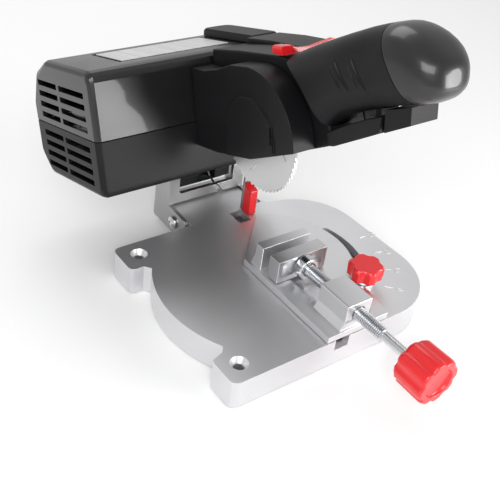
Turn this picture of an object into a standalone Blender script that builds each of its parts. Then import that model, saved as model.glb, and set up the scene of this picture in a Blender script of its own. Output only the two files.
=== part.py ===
# Bench-top cut-off saw: cast base with a swivelling vise, a sprung motor head and a 50 mm blade.
# Units are metres.  +Z is up, the operator stands on the -Y side, the blade plane is X = 0.
import math

import bmesh
import bpy
from mathutils import Matrix, Vector

MM = 0.001

# ---- driving dimensions (mm) -------------------------------------------------------------
GAP = 0.3                      # working clearance between neighbouring pieces

BASE_H = 14.0                  # height of the cast base
BASE_WALL = 3.5                # skirt wall
BASE_SKIN = 4.0                # thickness of the top skin
BASE_LEFT = -46.3
BASE_FRONT = -54.2
BASE_REAR = 45.1
BASE_ARC = (9.2, -4.9, 54.9)   # round left side between the two bolt ears
BASE_RIGHT = 76.4
FRONT_CORNER_R = 31.3          # large round corners on the right
REAR_CORNER = (46.2, 14.6, 29.6)
BLOCK_X = (-2.2, 38.4)         # rear block that carries the head bracket
BLOCK_REAR = 76.0
EAR_HOLES = ((-36.9, 36.6), (-37.2, -44.8))
WINDOW = (20.3, 27.2, 35.8, 45.4)      # rectangular opening beside the stop post

VISE_AXIS = (17.8, 0.0)        # vertical swivel axis
VISE_TOP = 17.6                # top of the swivel plate
VISE_LEFT = 1.8
VISE_RIGHT = 36.4
VISE_DISC_R = 35.0
JAW_TOP = 29.6
SCREW_Z = 24.3                 # height of the lead screw
SCREW_R = 3.2
SCREW_PITCH = 1.0
LOCK_R = 39.6                  # radius of the arc slot
LOCK_ANGLE = -51.5

PIVOT_Y = 70.5                 # head hinge, axis along X
PIVOT_Z = 31.5
HEAD_REST = 16.5               # degrees the head is raised above level
PIN_R = 2.0
BRACKET_X = (-4.6, 41.0)

BLADE_R = 25.0
BLADE_A = -76.6                # blade centre in the level head frame
BLADE_B = 32.2
MOTOR_A = -4.0                 # motor centre in the level head frame
MOTOR_B = 33.4
HOUSING_X = (-54.5, 45.0)
PARTING_B = 31.5
ARM_A = -83.6                  # centre of the rounded front of the drive arm
ARM_B = 33.2
ARM_R = 31.0
BOSS_R = 16.4                  # arched boss on the guard's left cheek

# ---- materials ---------------------------------------------------------------------------
PALETTE = {
    "cast_aluminium": ((0.62, 0.63, 0.65), 0.42, 0.9),
    "machined_aluminium": ((0.72, 0.73, 0.74), 0.3, 1.0),
    "bracket_steel": ((0.38, 0.38, 0.38), 0.45, 0.85),
    "zinc_steel": ((0.72, 0.74, 0.76), 0.25, 1.0),
    "dark_steel": ((0.08, 0.08, 0.085), 0.4, 0.9),
    "blade_steel": ((0.66, 0.66, 0.66), 0.3, 1.0),
    "black_plastic": ((0.012, 0.012, 0.014), 0.45, 0.0),
    "gloss_black": ((0.008, 0.008, 0.01), 0.15, 0.0),
    "red_plastic": ((0.75, 0.015, 0.02), 0.3, 0.0),
    "label_foil": ((0.6, 0.61, 0.63), 0.35, 0.8),
    "copper": ((0.7, 0.28, 0.12), 0.35, 1.0),
    "carbon": ((0.03, 0.03, 0.03), 0.7, 0.0),
    "belt_rubber": ((0.02, 0.02, 0.02), 0.8, 0.0),
    "white_plastic": ((0.7, 0.7, 0.68), 0.5, 0.0),
}


def material(name):
    found = bpy.data.materials.get(name)
    if found:
        return found
    colour, rough, metal = PALETTE[name]
    made = bpy.data.materials.new(name)
    made.use_nodes = True
    shader = made.node_tree.nodes["Principled BSDF"]
    shader.inputs["Base Color"].default_value = (*colour, 1.0)
    shader.inputs["Roughness"].default_value = rough
    shader.inputs["Metallic"].default_value = metal
    made.diffuse_color = (*colour, 1.0)
    return made


# ---- frames ------------------------------------------------------------------------------
def head_matrix():
    """Level head frame (x, a backwards, b upwards from the hinge) to the raised rest pose."""
    turn = Matrix.Rotation(math.radians(-HEAD_REST), 4, "X")
    return Matrix.Translation((0, PIVOT_Y * MM, PIVOT_Z * MM)) @ turn


HEAD = head_matrix()
WORLD = Matrix.Identity(4)


def head_point(x, a, b):
    return HEAD @ Vector((x * MM, a * MM, b * MM))


# ---- mesh helpers ------------------------------------------------------------------------
def finish(name, bm, mat, frame=WORLD):
    """Turns a bmesh in millimetres into a named object placed through its frame."""
    bmesh.ops.remove_doubles(bm, verts=bm.verts, dist=0.0005)
    bmesh.ops.scale(bm, vec=(MM, MM, MM), verts=bm.verts)
    bmesh.ops.transform(bm, matrix=frame, verts=bm.verts)
    bmesh.ops.recalc_face_normals(bm, faces=bm.faces)
    mesh = bpy.data.meshes.new(name)
    bm.to_mesh(mesh)
    bm.free()
    obj = bpy.data.objects.new(name, mesh)
    bpy.context.scene.collection.objects.link(obj)
    obj.data.materials.append(material(mat))
    return obj


def add_prism(bm, outline, low, high, axis="Z"):
    """Closed prism of a 2-D outline; axis X takes (y, z) points, Y takes (x, z), Z takes (x, y)."""
    def place(p, t):
        if axis == "X":
            return (t, p[0], p[1])
        if axis == "Y":
            return (p[0], t, p[1])
        return (p[0], p[1], t)
    lower = [bm.verts.new(place(p, low)) for p in outline]
    upper = [bm.verts.new(place(p, high)) for p in outline]
    bm.faces.new(lower)
    bm.faces.new(list(reversed(upper)))
    count = len(outline)
    for i in range(count):
        j = (i + 1) % count
        bm.faces.new((lower[j], lower[i], upper[i], upper[j]))


def add_box(bm, x, y, z):
    add_prism(bm, [(x[0], y[0]), (x[1], y[0]), (x[1], y[1]), (x[0], y[1])], z[0], z[1])


def add_tube(bm, centre, profile, segments, axis="Z"):
    """Turned body: profile is a closed loop of (radius, height) about the given axis."""
    rings = []
    for radius, height in profile:
        ring = []
        count = 1 if radius < 1e-6 else segments
        for k in range(count):
            t = 2 * math.pi * k / segments
            u = radius * math.cos(t)
            v = radius * math.sin(t)
            if axis == "Z":
                p = (centre[0] + u, centre[1] + v, height)
            elif axis == "Y":
                p = (centre[0] + u, height, centre[1] + v)
            else:
                p = (height, centre[0] + u, centre[1] + v)
            ring.append(bm.verts.new(p))
        rings.append(ring)
    total = len(rings)
    for i in range(total):
        lo = rings[i]
        hi = rings[(i + 1) % total]
        if len(lo) == 1 and len(hi) == 1:
            continue
        for k in range(segments):
            m = (k + 1) % segments
            if len(lo) == 1:
                bm.faces.new((lo[0], hi[m], hi[k]))
            elif len(hi) == 1:
                bm.faces.new((lo[k], lo[m], hi[0]))
            else:
                bm.faces.new((lo[k], lo[m], hi[m], hi[k]))


def add_loft(bm, sections):
    """Skins a list of closed rings with the same number of points and caps both ends."""
    rings = [[bm.verts.new(p) for p in ring] for ring in sections]
    bm.faces.new(rings[0])
    bm.faces.new(list(reversed(rings[-1])))
    count = len(rings[0])
    for lo, hi in zip(rings, rings[1:]):
        for k in range(count):
            m = (k + 1) % count
            bm.faces.new((lo[m], lo[k], hi[k], hi[m]))


def arc(cx, cy, radius, start, end, steps):
    """Points on an arc from start to end degrees."""
    points = []
    for k in range(steps + 1):
        t = math.radians(start + (end - start) * k / steps)
        points.append((cx + radius * math.cos(t), cy + radius * math.sin(t)))
    return points


def rounded(points, radii, steps=4):
    """Rounds the corners of a closed polygon; radii is one number or one per corner."""
    count = len(points)
    if not isinstance(radii, (list, tuple)):
        radii = [radii] * count
    out = []
    for i, p in enumerate(points):
        r = radii[i]
        if r <= 0:
            out.append(p)
            continue
        here = Vector(p)
        back = (Vector(points[i - 1]) - here)
        fore = (Vector(points[(i + 1) % count]) - here)
        half = back.angle(fore) / 2
        reach = min(r / math.tan(half), back.length * 0.48, fore.length * 0.48)
        start = here + back.normalized() * reach
        end = here + fore.normalized() * reach
        for k in range(steps + 1):
            t = k / steps
            q = start * (1 - t) ** 2 + here * 2 * t * (1 - t) + end * t ** 2
            out.append((q.x, q.y))
    return out


def cutter(bm, frame=WORLD):
    tool = finish("cutter", bm, "carbon", frame)
    tool.hide_render = True
    tool.display_type = "WIRE"
    return tool


def cut(obj, tool, operation="DIFFERENCE"):
    """Applies one exact boolean and removes the tool."""
    mod = obj.modifiers.new("boolean", "BOOLEAN")
    mod.operation = operation
    mod.solver = "EXACT"
    mod.object = tool
    graph = bpy.context.evaluated_depsgraph_get()
    mesh = bpy.data.meshes.new_from_object(obj.evaluated_get(graph))
    obj.modifiers.clear()
    old = obj.data
    obj.data = mesh
    bpy.data.meshes.remove(old)
    bpy.data.objects.remove(tool, do_unlink=True)
    keep = obj.data.materials[0]
    obj.data.materials.clear()
    obj.data.materials.append(keep)
    bm = bmesh.new()
    bm.from_mesh(obj.data)
    bmesh.ops.remove_doubles(bm, verts=bm.verts, dist=3e-6)
    bmesh.ops.dissolve_degenerate(bm, edges=bm.edges, dist=1e-6)
    for face in bm.faces:
        face.material_index = 0
    bm.to_mesh(obj.data)
    bm.free()
    return obj


def joint_empty(name, where):
    """Marks a joint: an empty standing on its axis, in metres."""
    empty = bpy.data.objects.new(name, None)
    empty.empty_display_size = 0.01
    empty.location = where
    bpy.context.scene.collection.objects.link(empty)
    return empty


def mount_on(parent, pieces):
    """Parents pieces to an axis marker without moving them."""
    bpy.context.view_layer.update()
    for piece in pieces:
        piece.parent = parent
        piece.matrix_parent_inverse = parent.matrix_world.inverted()


# ---- base --------------------------------------------------------------------------------
def base_outline(inset=0.0):
    """Plan outline of the casting, counter-clockwise, optionally moved inwards."""
    i = inset
    left = BASE_LEFT + i
    front = BASE_FRONT + i
    rear = BASE_REAR - i
    cx, cy, radius = BASE_ARC
    points = []
    points += arc(left + 3.5, front + 3.5, 3.5, 180, 270, 3)
    corner = FRONT_CORNER_R
    points += arc(BASE_RIGHT - corner, BASE_FRONT + corner, corner - i, -90, 0, 12)
    rx, ry, rr = REAR_CORNER
    points += arc(rx, ry, rr - i, 0, 74, 8)
    bx0, bx1 = BLOCK_X[0] + i, BLOCK_X[1] - i
    if inset > 0:
        points += [(48.0, 40.6), (43.0, 41.6), (bx1, 43.4)]
    else:
        points += [(48.3, 44.1), (44.2, 45.3), (42.2, 48.8), (41.8, 53.2)]
        points += [(41.5, 53.2), (41.5, 47.1), (bx1, 47.1)]
    points += [(bx1, BLOCK_REAR - i), (bx0, BLOCK_REAR - i), (bx0, rear)]
    points += arc(left + 3.5, rear - 3.5, 3.5, 90, 180, 3)
    points += arc(left + 2.5, 29.8 + i, 2.5, 180, 270, 2)
    points += [(-39.6 - i * 0.3, 27.4 + i), (-38.0 + i, 25.4)]
    radius -= i
    points += arc(cx, cy, radius, 147.5, 211.5, 14)
    points += [(-38.6 + i, -35.2), (-39.8 - i * 0.2, -36.4 - i)]
    points += arc(left + 2.5, -40.2 - i, 2.5, 90, 180, 2)
    return points


def make_base():
    bm = bmesh.new()
    add_prism(bm, base_outline(), 0.0, BASE_H)
    base = finish("base_plate", bm, "cast_aluminium")

    hollow = bmesh.new()
    add_prism(hollow, base_outline(BASE_WALL), -1.0, BASE_H - BASE_SKIN)
    cut(base, cutter(hollow))

    posts = bmesh.new()
    for x, y in EAR_HOLES:
        add_tube(posts, (x, y), [(6.1, 0.0), (6.1, BASE_H - 2), (0, BASE_H - 2), (0, 0.0)], 20)
    cut(base, cutter(posts), "UNION")
    boss = bmesh.new()
    add_tube(boss, VISE_AXIS, [(7.0, 3.0), (7.0, BASE_H - 2), (0, BASE_H - 2), (0, 3.0)], 24)
    cut(base, cutter(boss), "UNION")

    holes = bmesh.new()
    for x, y in EAR_HOLES:
        add_tube(holes, (x, y), [(2.3, -1.0), (2.3, BASE_H - 2.6), (4.0, BASE_H + 0.01),
                                 (4.0, BASE_H + 1), (0, BASE_H + 1), (0, -1.0)], 24)
    cut(base, cutter(holes))

    bore = bmesh.new()
    add_tube(bore, VISE_AXIS, [(2.8, 2.0), (2.8, BASE_H + 1), (0, BASE_H + 1), (0, 2.0)], 20)
    cut(base, cutter(bore))

    windows = bmesh.new()
    add_box(windows, (WINDOW[0], WINDOW[1]), (WINDOW[2], WINDOW[3]), (5.0, BASE_H + 1))
    cut(base, cutter(windows))
    front = bmesh.new()
    add_box(front, (6.8, 14.4), (BASE_FRONT - 1, BASE_FRONT + BASE_WALL + 1), (8.4, BASE_H + 1))
    cut(base, cutter(front))

    slot = bmesh.new()
    vx, vy = VISE_AXIS
    inner = arc(vx, vy, LOCK_R - 2.3, -60, 16, 20)
    outer = arc(vx, vy, LOCK_R + 2.3, 16, -60, 20)
    near = arc(vx + LOCK_R * math.cos(math.radians(16)), vy + LOCK_R * math.sin(math.radians(16)),
               2.3, 196, 16, 5)[1:-1]
    far = arc(vx + LOCK_R * math.cos(math.radians(-60)), vy + LOCK_R * math.sin(math.radians(-60)),
              2.3, -60, -240, 5)[1:-1]
    add_prism(slot, inner + near + outer + far, 5.0, BASE_H + 1)
    cut(base, cutter(slot))

    sides = bmesh.new()
    add_tube(sides, (58.2, 8.1), [(1.7, BLOCK_X[0] - 1), (1.7, BLOCK_X[1] + 1),
                                  (0, BLOCK_X[1] + 1), (0, BLOCK_X[0] - 1)], 16, "X")
    cut(base, cutter(sides))
    return base


# ---- head bracket ------------------------------------------------------------------------
def make_bracket():
    """Folded 2 mm steel: a notched front plate and two L-shaped side arms."""
    x0, x1 = BRACKET_X
    foot = rounded([(47.6, 15.2), (47.6, 2.0), (77.4, 2.0), (77.2, 8.0)], [3, 3, 2, 0], 3)
    top = arc(PIVOT_Y, PIVOT_Z, 5.6, 0, 180, 8)
    arm = foot + top + [(63.5, 29.0), (63.5, 15.2)]
    bm = bmesh.new()
    add_prism(bm, arm, x0, x0 + 2.0, "X")
    bracket = finish("head_bracket", bm, "bracket_steel")
    other = bmesh.new()
    add_prism(other, arm, x1 - 2.0, x1, "X")
    cut(bracket, cutter(other), "UNION")
    plate = bmesh.new()
    face = [(x0, 15.2), (25.6, 15.2), (21.6, 20.4), (2.4, 20.4), (1.2, 22.0), (1.2, 31.0), (x0, 31.0)]
    add_prism(plate, face, 63.5, 65.5, "Y")
    cut(bracket, cutter(plate), "UNION")
    right = bmesh.new()
    face = [(28.4, 15.2), (x1, 15.2), (x1, 31.0), (34.0, 31.0), (34.0, 20.4), (24.4, 20.4)]
    add_prism(right, face, 63.5, 65.5, "Y")
    cut(bracket, cutter(right), "UNION")
    web = bmesh.new()
    add_box(web, (x0 + 0.5, x1 - 0.5), (65.0, 67.0), (15.2, 19.0))
    cut(bracket, cutter(web), "UNION")
    holes = bmesh.new()
    for y, z, r in ((58.2, 8.1, 2.3), (PIVOT_Y, PIVOT_Z, PIN_R + GAP)):
        add_tube(holes, (y, z), [(r, x0 - 1), (r, x1 + 1), (0, x1 + 1), (0, x0 - 1)], 20, "X")
    cut(bracket, cutter(holes))
    return bracket


def make_bracket_screw(name, side):
    """Low round head screw driven sideways into the rear block."""
    if side < 0:
        face = BRACKET_X[0] - GAP
        tip = BLOCK_X[0] + 9.0
        out = -1
    else:
        face = BRACKET_X[1] + GAP
        tip = BLOCK_X[1] - 9.0
        out = 1
    profile = [(0, tip), (1.4, tip), (1.4, face), (3.4, face), (3.4, face + out * 0.8),
               (2.2, face + out * 1.7), (0, face + out * 1.9)]
    bm = bmesh.new()
    add_tube(bm, (58.2, 8.1), profile, 16, "X")
    return finish(name, bm, "zinc_steel")


def make_stop_post():
    """Red moulded block; its sloping top catches the head at the bottom of the stroke."""
    bm = bmesh.new()
    side = [(39.2, BASE_H + GAP), (45.2, BASE_H + GAP), (45.2, 30.5), (43.4, 30.1), (39.4, 27.9)]
    add_prism(bm, side, 27.8, 32.2, "X")
    return finish("stop_post", bm, "red_plastic")


def make_stop_strip():
    """Steel tongue standing in the top of the stop post."""
    bm = bmesh.new()
    add_box(bm, (28.0, 32.0), (45.5, 47.1), (BASE_H + GAP, 37.0))
    return finish("stop_strip", bm, "bracket_steel")


def make_hinge_pin():
    x0, x1 = BRACKET_X
    bm = bmesh.new()
    profile = [(0, x0 - 2.2), (3.8, x0 - 2.2), (4.2, x0 - 1.6), (4.2, x0 - GAP), (PIN_R, x0 - GAP),
               (PIN_R, x1 + 1.8), (1.5, x1 + 2.4), (0, x1 + 2.4)]
    add_tube(bm, (PIVOT_Y, PIVOT_Z), profile, 20, "X")
    return finish("hinge_pin", bm, "zinc_steel")


def make_hinge_spring():
    """Torsion spring on the hinge pin, one leg on the bracket and one under the head."""
    wire = 0.6
    coil = 3.3
    turns = 5
    steps = 10
    bm = bmesh.new()
    start_x = 14.4
    pitch = 1.6
    path = [Vector((start_x - 0.2, PIVOT_Y + 2.4, PIVOT_Z - 7.0)),
            Vector((start_x - 0.1, PIVOT_Y + coil, PIVOT_Z - 3.4))]
    for k in range(turns * steps + 1):
        t = 2 * math.pi * k / steps
        path.append(Vector((start_x + pitch * k / steps, PIVOT_Y + coil * math.cos(t),
                            PIVOT_Z + coil * math.sin(t))))
    end_x = path[-1].x
    path.append(Vector((end_x + 0.3, PIVOT_Y + coil - 0.2, PIVOT_Z - 3.6)))
    path.append(Vector((end_x + 0.8, PIVOT_Y - 1.5, PIVOT_Z - 9.0)))
    path.append(Vector((23.5, PIVOT_Y - 5.8, 19.9)))
    rings = []
    for i, p in enumerate(path):
        before = path[max(i - 1, 0)]
        after = path[min(i + 1, len(path) - 1)]
        along = (after - before).normalized()
        side = along.cross(Vector((1, 0, 0)))
        if side.length < 0.1:
            side = along.cross(Vector((0, 1, 0)))
        side.normalize()
        up = side.cross(along)
        ring = []
        for k in range(5):
            t = 2 * math.pi * k / 5
            ring.append(p + (side * math.cos(t) + up * math.sin(t)) * wire)
        rings.append([(v.x, v.y, v.z) for v in ring])
    add_loft(bm, rings)
    return finish("hinge_spring", bm, "dark_steel")


# ---- vise --------------------------------------------------------------------------------
def plate_outline():
    vx, vy = VISE_AXIS
    points = [(VISE_LEFT, BASE_FRONT), (VISE_RIGHT, BASE_FRONT)]
    start = -math.degrees(math.acos((VISE_RIGHT - vx) / VISE_DISC_R))
    ear = LOCK_ANGLE
    ex = vx + LOCK_R * math.cos(math.radians(ear))
    ey = vy + LOCK_R * math.sin(math.radians(ear))
    points += arc(ex, ey, 5.6, -120, 40, 8)
    points += arc(vx, vy, VISE_DISC_R, -36, 73.4, 16)
    points += [(VISE_LEFT, VISE_LEFT + 5.2)]
    return points


def make_vise_body():
    """One casting: swivel plate, fixed jaw at the back and threaded block at the front."""
    vx, vy = VISE_AXIS
    low = BASE_H + GAP
    bm = bmesh.new()
    add_prism(bm, plate_outline(), low, VISE_TOP)
    body = finish("vise_body", bm, "cast_aluminium")
    jaw = bmesh.new()
    side = [(-3.2, VISE_TOP - 1), (4.6, VISE_TOP - 1), (2.0, 24.0), (2.0, JAW_TOP), (-3.2, JAW_TOP)]
    add_prism(jaw, side, vx - 14.2, vx + 13.2, "X")
    cut(body, cutter(jaw), "UNION")
    block = bmesh.new()
    face = rounded([(vx - 9.6, VISE_TOP - 1), (vx + 8.2, VISE_TOP - 1), (vx + 7.1, 21.0),
                    (vx + 7.1, 30.1), (vx - 7.1, 30.1), (vx - 7.1, 21.5)],
                   [0, 0, 1.5, 0.8, 0.8, 1.5], 2)
    add_prism(block, face, -53.2, -35.2, "Y")
    cut(body, cutter(block), "UNION")
    thread = bmesh.new()
    add_tube(thread, (vx, SCREW_Z), [(SCREW_R + 0.35, -60.0), (SCREW_R + 0.35, -30.0),
                                     (0, -30.0), (0, -60.0)], 24, "Y")
    cut(body, cutter(thread))
    bores = bmesh.new()
    ex = vx + LOCK_R * math.cos(math.radians(LOCK_ANGLE))
    ey = vy + LOCK_R * math.sin(math.radians(LOCK_ANGLE))
    add_tube(bores, (ex, ey), [(2.3, low - 1), (2.3, VISE_TOP + 1), (0, VISE_TOP + 1), (0, low - 1)], 16)
    add_tube(bores, (vx, vy), [(2.8, low - 1), (2.8, VISE_TOP + 3), (0, VISE_TOP + 3), (0, low - 1)], 20)
    cut(body, cutter(bores))
    channel = bmesh.new()
    add_box(channel, (vx - 6.0, vx + 6.0), (-34.0, -5.4), (VISE_TOP - 1.4, VISE_TOP + 1))
    cut(body, cutter(channel))
    chamfer = bmesh.new()
    add_prism(chamfer, [(-55.5, 15.8), (-53.0, 21.6), (-55.5, 21.6)], vx - 12, vx + 12, "X")
    cut(body, cutter(chamfer))
    return body


def make_vise_pivot():
    vx, vy = VISE_AXIS
    bm = bmesh.new()
    profile = [(0, 4.0), (2.5, 4.0), (2.5, VISE_TOP + 2.2), (0, VISE_TOP + 2.2)]
    add_tube(bm, (vx, vy), profile, 16)
    return finish("vise_pivot", bm, "zinc_steel")


def make_movable_jaw():
    """Channel-shaped jaw open to the front, pushed by the nose of the lead screw."""
    vx, _ = VISE_AXIS
    low = VISE_TOP + GAP
    bm = bmesh.new()
    add_box(bm, (vx - 14.2, vx + 13.8), (-15.1, -8.1), (low, JAW_TOP))
    jaw = finish("movable_jaw", bm, "machined_aluminium")
    pocket = bmesh.new()
    add_box(pocket, (vx - 11.6, vx - 5.0), (-16.0, -10.4), (low + 2.6, JAW_TOP - 2.2))
    cut(jaw, cutter(pocket))
    pocket = bmesh.new()
    add_box(pocket, (vx + 5.0, vx + 11.4), (-16.0, -10.4), (low + 2.6, JAW_TOP - 2.2))
    cut(jaw, cutter(pocket))
    nose = bmesh.new()
    add_tube(nose, (vx, SCREW_Z), [(2.5, -16.0), (2.5, -9.8), (0, -9.8), (0, -16.0)], 20, "Y")
    cut(jaw, cutter(nose))
    return jaw


def make_lead_screw():
    """Thread is shown as shallow grooves; plain shank outside the block, plain nose in the jaw."""
    vx, _ = VISE_AXIS
    profile = [(0, -92.0), (SCREW_R - 0.5, -92.0), (SCREW_R - 0.5, -68.6)]
    y = -68.4
    while y < -18.0:
        profile += [(SCREW_R, y), (SCREW_R - 0.5, y + 1.0)]
        y += 2.0
    profile += [(SCREW_R - 0.5, y), (2.1, y + 0.4), (2.1, -10.2), (0, -10.2)]
    bm = bmesh.new()
    add_tube(bm, (vx, SCREW_Z), profile, 12, "Y")
    return finish("lead_screw", bm, "zinc_steel")


def make_screw_collar():
    vx, _ = VISE_AXIS
    bm = bmesh.new()
    profile = [(3.5, -20.2), (5.2, -20.2), (5.6, -19.8), (5.6, -15.8), (5.2, -15.4), (3.5, -15.4)]
    add_tube(bm, (vx, SCREW_Z), profile, 20, "Y")
    return finish("screw_collar", bm, "zinc_steel")


def fluted(radius, depth, lobes, per, width=0.5):
    """Outline of a fluted grip: lobes of full radius with round valleys between them."""
    points = []
    total = lobes * per
    for k in range(total):
        phase = (k % per) / per
        dip = 0.0
        if phase > 1 - width:
            dip = depth * math.sin(math.pi * (phase - (1 - width)) / width)
        t = 2 * math.pi * k / total
        points.append(((radius - dip) * math.cos(t), (radius - dip) * math.sin(t)))
    return points


def make_screw_knob():
    vx, _ = VISE_AXIS
    rings = []
    for y, scale in ((-84.0, 0.80), (-86.4, 0.98), (-99.0, 1.0), (-100.6, 0.94)):
        rings.append([(vx + u * scale, y, SCREW_Z + v * scale) for u, v in fluted(10.8, 1.2, 8, 7, 0.5)])
    bm = bmesh.new()
    add_loft(bm, rings)
    knob = finish("screw_knob", bm, "red_plastic")
    dish = bmesh.new()
    add_tube(dish, (vx, SCREW_Z), [(7.2, -102.0), (6.8, -99.4), (0, -98.8), (0, -102.0)], 20, "Y")
    cut(knob, cutter(dish))
    bore = bmesh.new()
    add_tube(bore, (vx, SCREW_Z), [(SCREW_R - 0.2, -83.0), (SCREW_R - 0.2, -92.4), (0, -92.4), (0, -83.0)],
             14, "Y")
    cut(knob, cutter(bore))
    return knob


def lock_centre():
    vx, vy = VISE_AXIS
    t = math.radians(LOCK_ANGLE)
    return (vx + LOCK_R * math.cos(t), vy + LOCK_R * math.sin(t))


def make_lock_bolt():
    """Carriage bolt: the head slides under the arc slot, the thread stands up through the plate."""
    profile = [(0, 6.6), (4.4, 6.6), (4.4, 9.6), (1.95, 9.6), (1.95, 24.0), (0, 24.0)]
    bm = bmesh.new()
    add_tube(bm, lock_centre(), profile, 16)
    return finish("lock_bolt", bm, "zinc_steel")


def make_lock_washer():
    low = VISE_TOP + GAP
    bm = bmesh.new()
    add_tube(bm, lock_centre(), [(2.3, low), (5.2, low), (5.2, low + 1.0), (2.3, low + 1.0)], 20)
    return finish("lock_washer", bm, "zinc_steel")


def make_lock_knob():
    cx, cy = lock_centre()
    low = VISE_TOP + 1.0 + 2 * GAP
    rings = []
    for z, scale in ((low, 0.62), (low + 0.5, 0.64), (low + 1.0, 0.96), (low + 6.2, 1.0), (low + 7.6, 0.86)):
        rings.append([(cx + u * scale, cy + v * scale, z) for u, v in fluted(8.5, 1.2, 6, 8, 0.62)])
    bm = bmesh.new()
    add_loft(bm, rings)
    knob = finish("lock_knob", bm, "red_plastic")
    bore = bmesh.new()
    add_tube(bore, (cx, cy), [(2.25, low - 1), (2.25, 24.4), (0, 24.4), (0, low - 1)], 16)
    cut(knob, cutter(bore))
    return knob


# ---- head shells -------------------------------------------------------------------------
def housing_profile(inset=0.0):
    """(a, b) section of the motor housing, from the lower front corner round to the front."""
    i = inset
    return rounded([(-36.0 + i, 6.3 + i), (20.0 - i, 6.3 + i), (28.0 - i, 17.0), (28.0 - i, 40.0),
                    (22.0 - i, 54.5 - i), (9.5, 60.8 - i), (-35.4 + i, 60.8 - i)],
                   [3.2, 6, 4, 5, 5, 5, 4.5], 3)


def make_housing(name, upper, mat):
    """Half of the motor housing, 2.4 mm wall, split at mid height."""
    x0, x1 = HOUSING_X
    bm = bmesh.new()
    rings = []
    for x, shrink in ((x0, 2.2), (x0 + 0.8, 0.8), (x0 + 2.4, 0.0), (x1 - 2.0, 0.0), (x1, 1.2)):
        rings.append([(x, a, b) for a, b in housing_profile(shrink)])
    add_loft(bm, rings)
    shell = finish(name, bm, mat, HEAD)
    inner = bmesh.new()
    add_prism(inner, housing_profile(2.4), x0 + 2.6, x1 - 2.4, "X")
    cut(shell, cutter(inner, HEAD))
    half = bmesh.new()
    if upper:
        add_box(half, (x0 - 2, x1 + 2), (-60, 60), (-20, PARTING_B + GAP / 2))
    else:
        add_box(half, (x0 - 2, x1 + 2), (-60, 60), (PARTING_B - GAP / 2, 90))
    cut(shell, cutter(half, HEAD))
    vents = bmesh.new()
    for row in range(4):
        if upper:
            b = 50.2 - row * 4.9
        else:
            b = 26.9 - row * 4.9
        add_box(vents, (x0 - 2, x0 + 4), (-28.0, -3.4), (b - 1.25, b + 1.25))
        add_box(vents, (x0 - 2, x0 + 4), (-0.8, 19.0), (b - 1.25, b + 1.25))
    cut(shell, cutter(vents, HEAD))
    return shell


def make_housing_upper():
    shell = make_housing("housing_upper", True, "gloss_black")
    recess = bmesh.new()
    add_box(recess, (-33.2, 25.6), (-23.6, 4.6), (60.2, 62.0))
    cut(shell, cutter(recess, HEAD))
    passage = bmesh.new()
    add_box(passage, (14.0, 42.0), (-40.0, -32.0), (25.0, 50.0))
    cut(shell, cutter(passage, HEAD))
    return shell


def make_housing_lower():
    shell = make_housing("housing_lower", False, "black_plastic")
    passage = bmesh.new()
    add_box(passage, (14.0, 42.0), (-40.0, -32.0), (20.0, 50.0))
    cut(shell, cutter(passage, HEAD))
    slot = bmesh.new()
    add_box(slot, (26.6, 33.4), (-28.0, -18.6), (4.0, 10.0))
    cut(shell, cutter(slot, HEAD))
    ear = [(-3.9, 7.5), (-3.9, 0.0), (-1.7, -9.6), (0.0, -10.4), (6.6, -10.4), (8.0, -9.0), (8.0, 7.5)]
    for x0, x1 in ((1.9, 12.8), (24.2, 33.2)):
        lug = bmesh.new()
        add_prism(lug, ear, x0, x1, "X")
        cut(shell, cutter(lug, HEAD), "UNION")
    wall = bmesh.new()
    add_box(wall, (2.0, 33.1), (5.6, 7.9), (-12.8, 7.5))
    cut(shell, cutter(wall, HEAD), "UNION")
    bore = bmesh.new()
    add_tube(bore, (0, 0), [(PIN_R + GAP, -10.0), (PIN_R + GAP, 50.0), (0, 50.0), (0, -10.0)], 20, "X")
    cut(shell, cutter(bore, HEAD))
    return shell


def make_rating_plate():
    bm = bmesh.new()
    add_box(bm, (-31.6, 24.2), (-22.0, 3.0), (60.5, 61.0))
    return finish("rating_plate", bm, "label_foil", HEAD)


def guard_profile(inset=0.0):
    """(a, b) outline of the blade guard cheek."""
    i = inset
    points = [(-36.4 - i, 20.6 + i), (-36.4 - i, 55.6 - i), (-46.0, 55.4 - i), (-56.0, 57.2 - i),
              (-66.0, 60.2 - i)]
    points += arc(BLADE_A, BLADE_B, 28.6 - i, 92, 176, 10)
    points += [(-105.2 + i, 30.6 + i), (-76.0, 22.3 + i), (-52.0, 20.4 + i)]
    return points


def make_blade_guard():
    """Moulded hood over the upper blade, open below, with an arched boss round the arbor."""
    bm = bmesh.new()
    add_prism(bm, guard_profile(), -5.6, 5.4, "X")
    guard = finish("blade_guard", bm, "black_plastic", HEAD)
    boss = bmesh.new()
    arch = arc(BLADE_A, BLADE_B, BOSS_R, 0, 180, 20)
    arch += [(BLADE_A - BOSS_R, 27.9), (BLADE_A, 22.9), (BLADE_A + BOSS_R, 21.3)]
    add_prism(boss, arch, -6.6, -4.0, "X")
    cut(guard, cutter(boss, HEAD), "UNION")
    room = bmesh.new()
    outline = arc(BLADE_A, BLADE_B, 26.6, 0, 180, 24)
    outline += [(BLADE_A - 26.6, 10.0), (BLADE_A + 26.6, 10.0)]
    add_prism(room, outline, -2.6, 2.6, "X")
    cut(guard, cutter(room, HEAD))
    arbor = bmesh.new()
    add_tube(arbor, (BLADE_A, BLADE_B), [(8.6, -5.8), (8.6, 7.0), (0, 7.0), (0, -5.8)], 24, "X")
    cut(guard, cutter(arbor, HEAD))
    return guard


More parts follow.
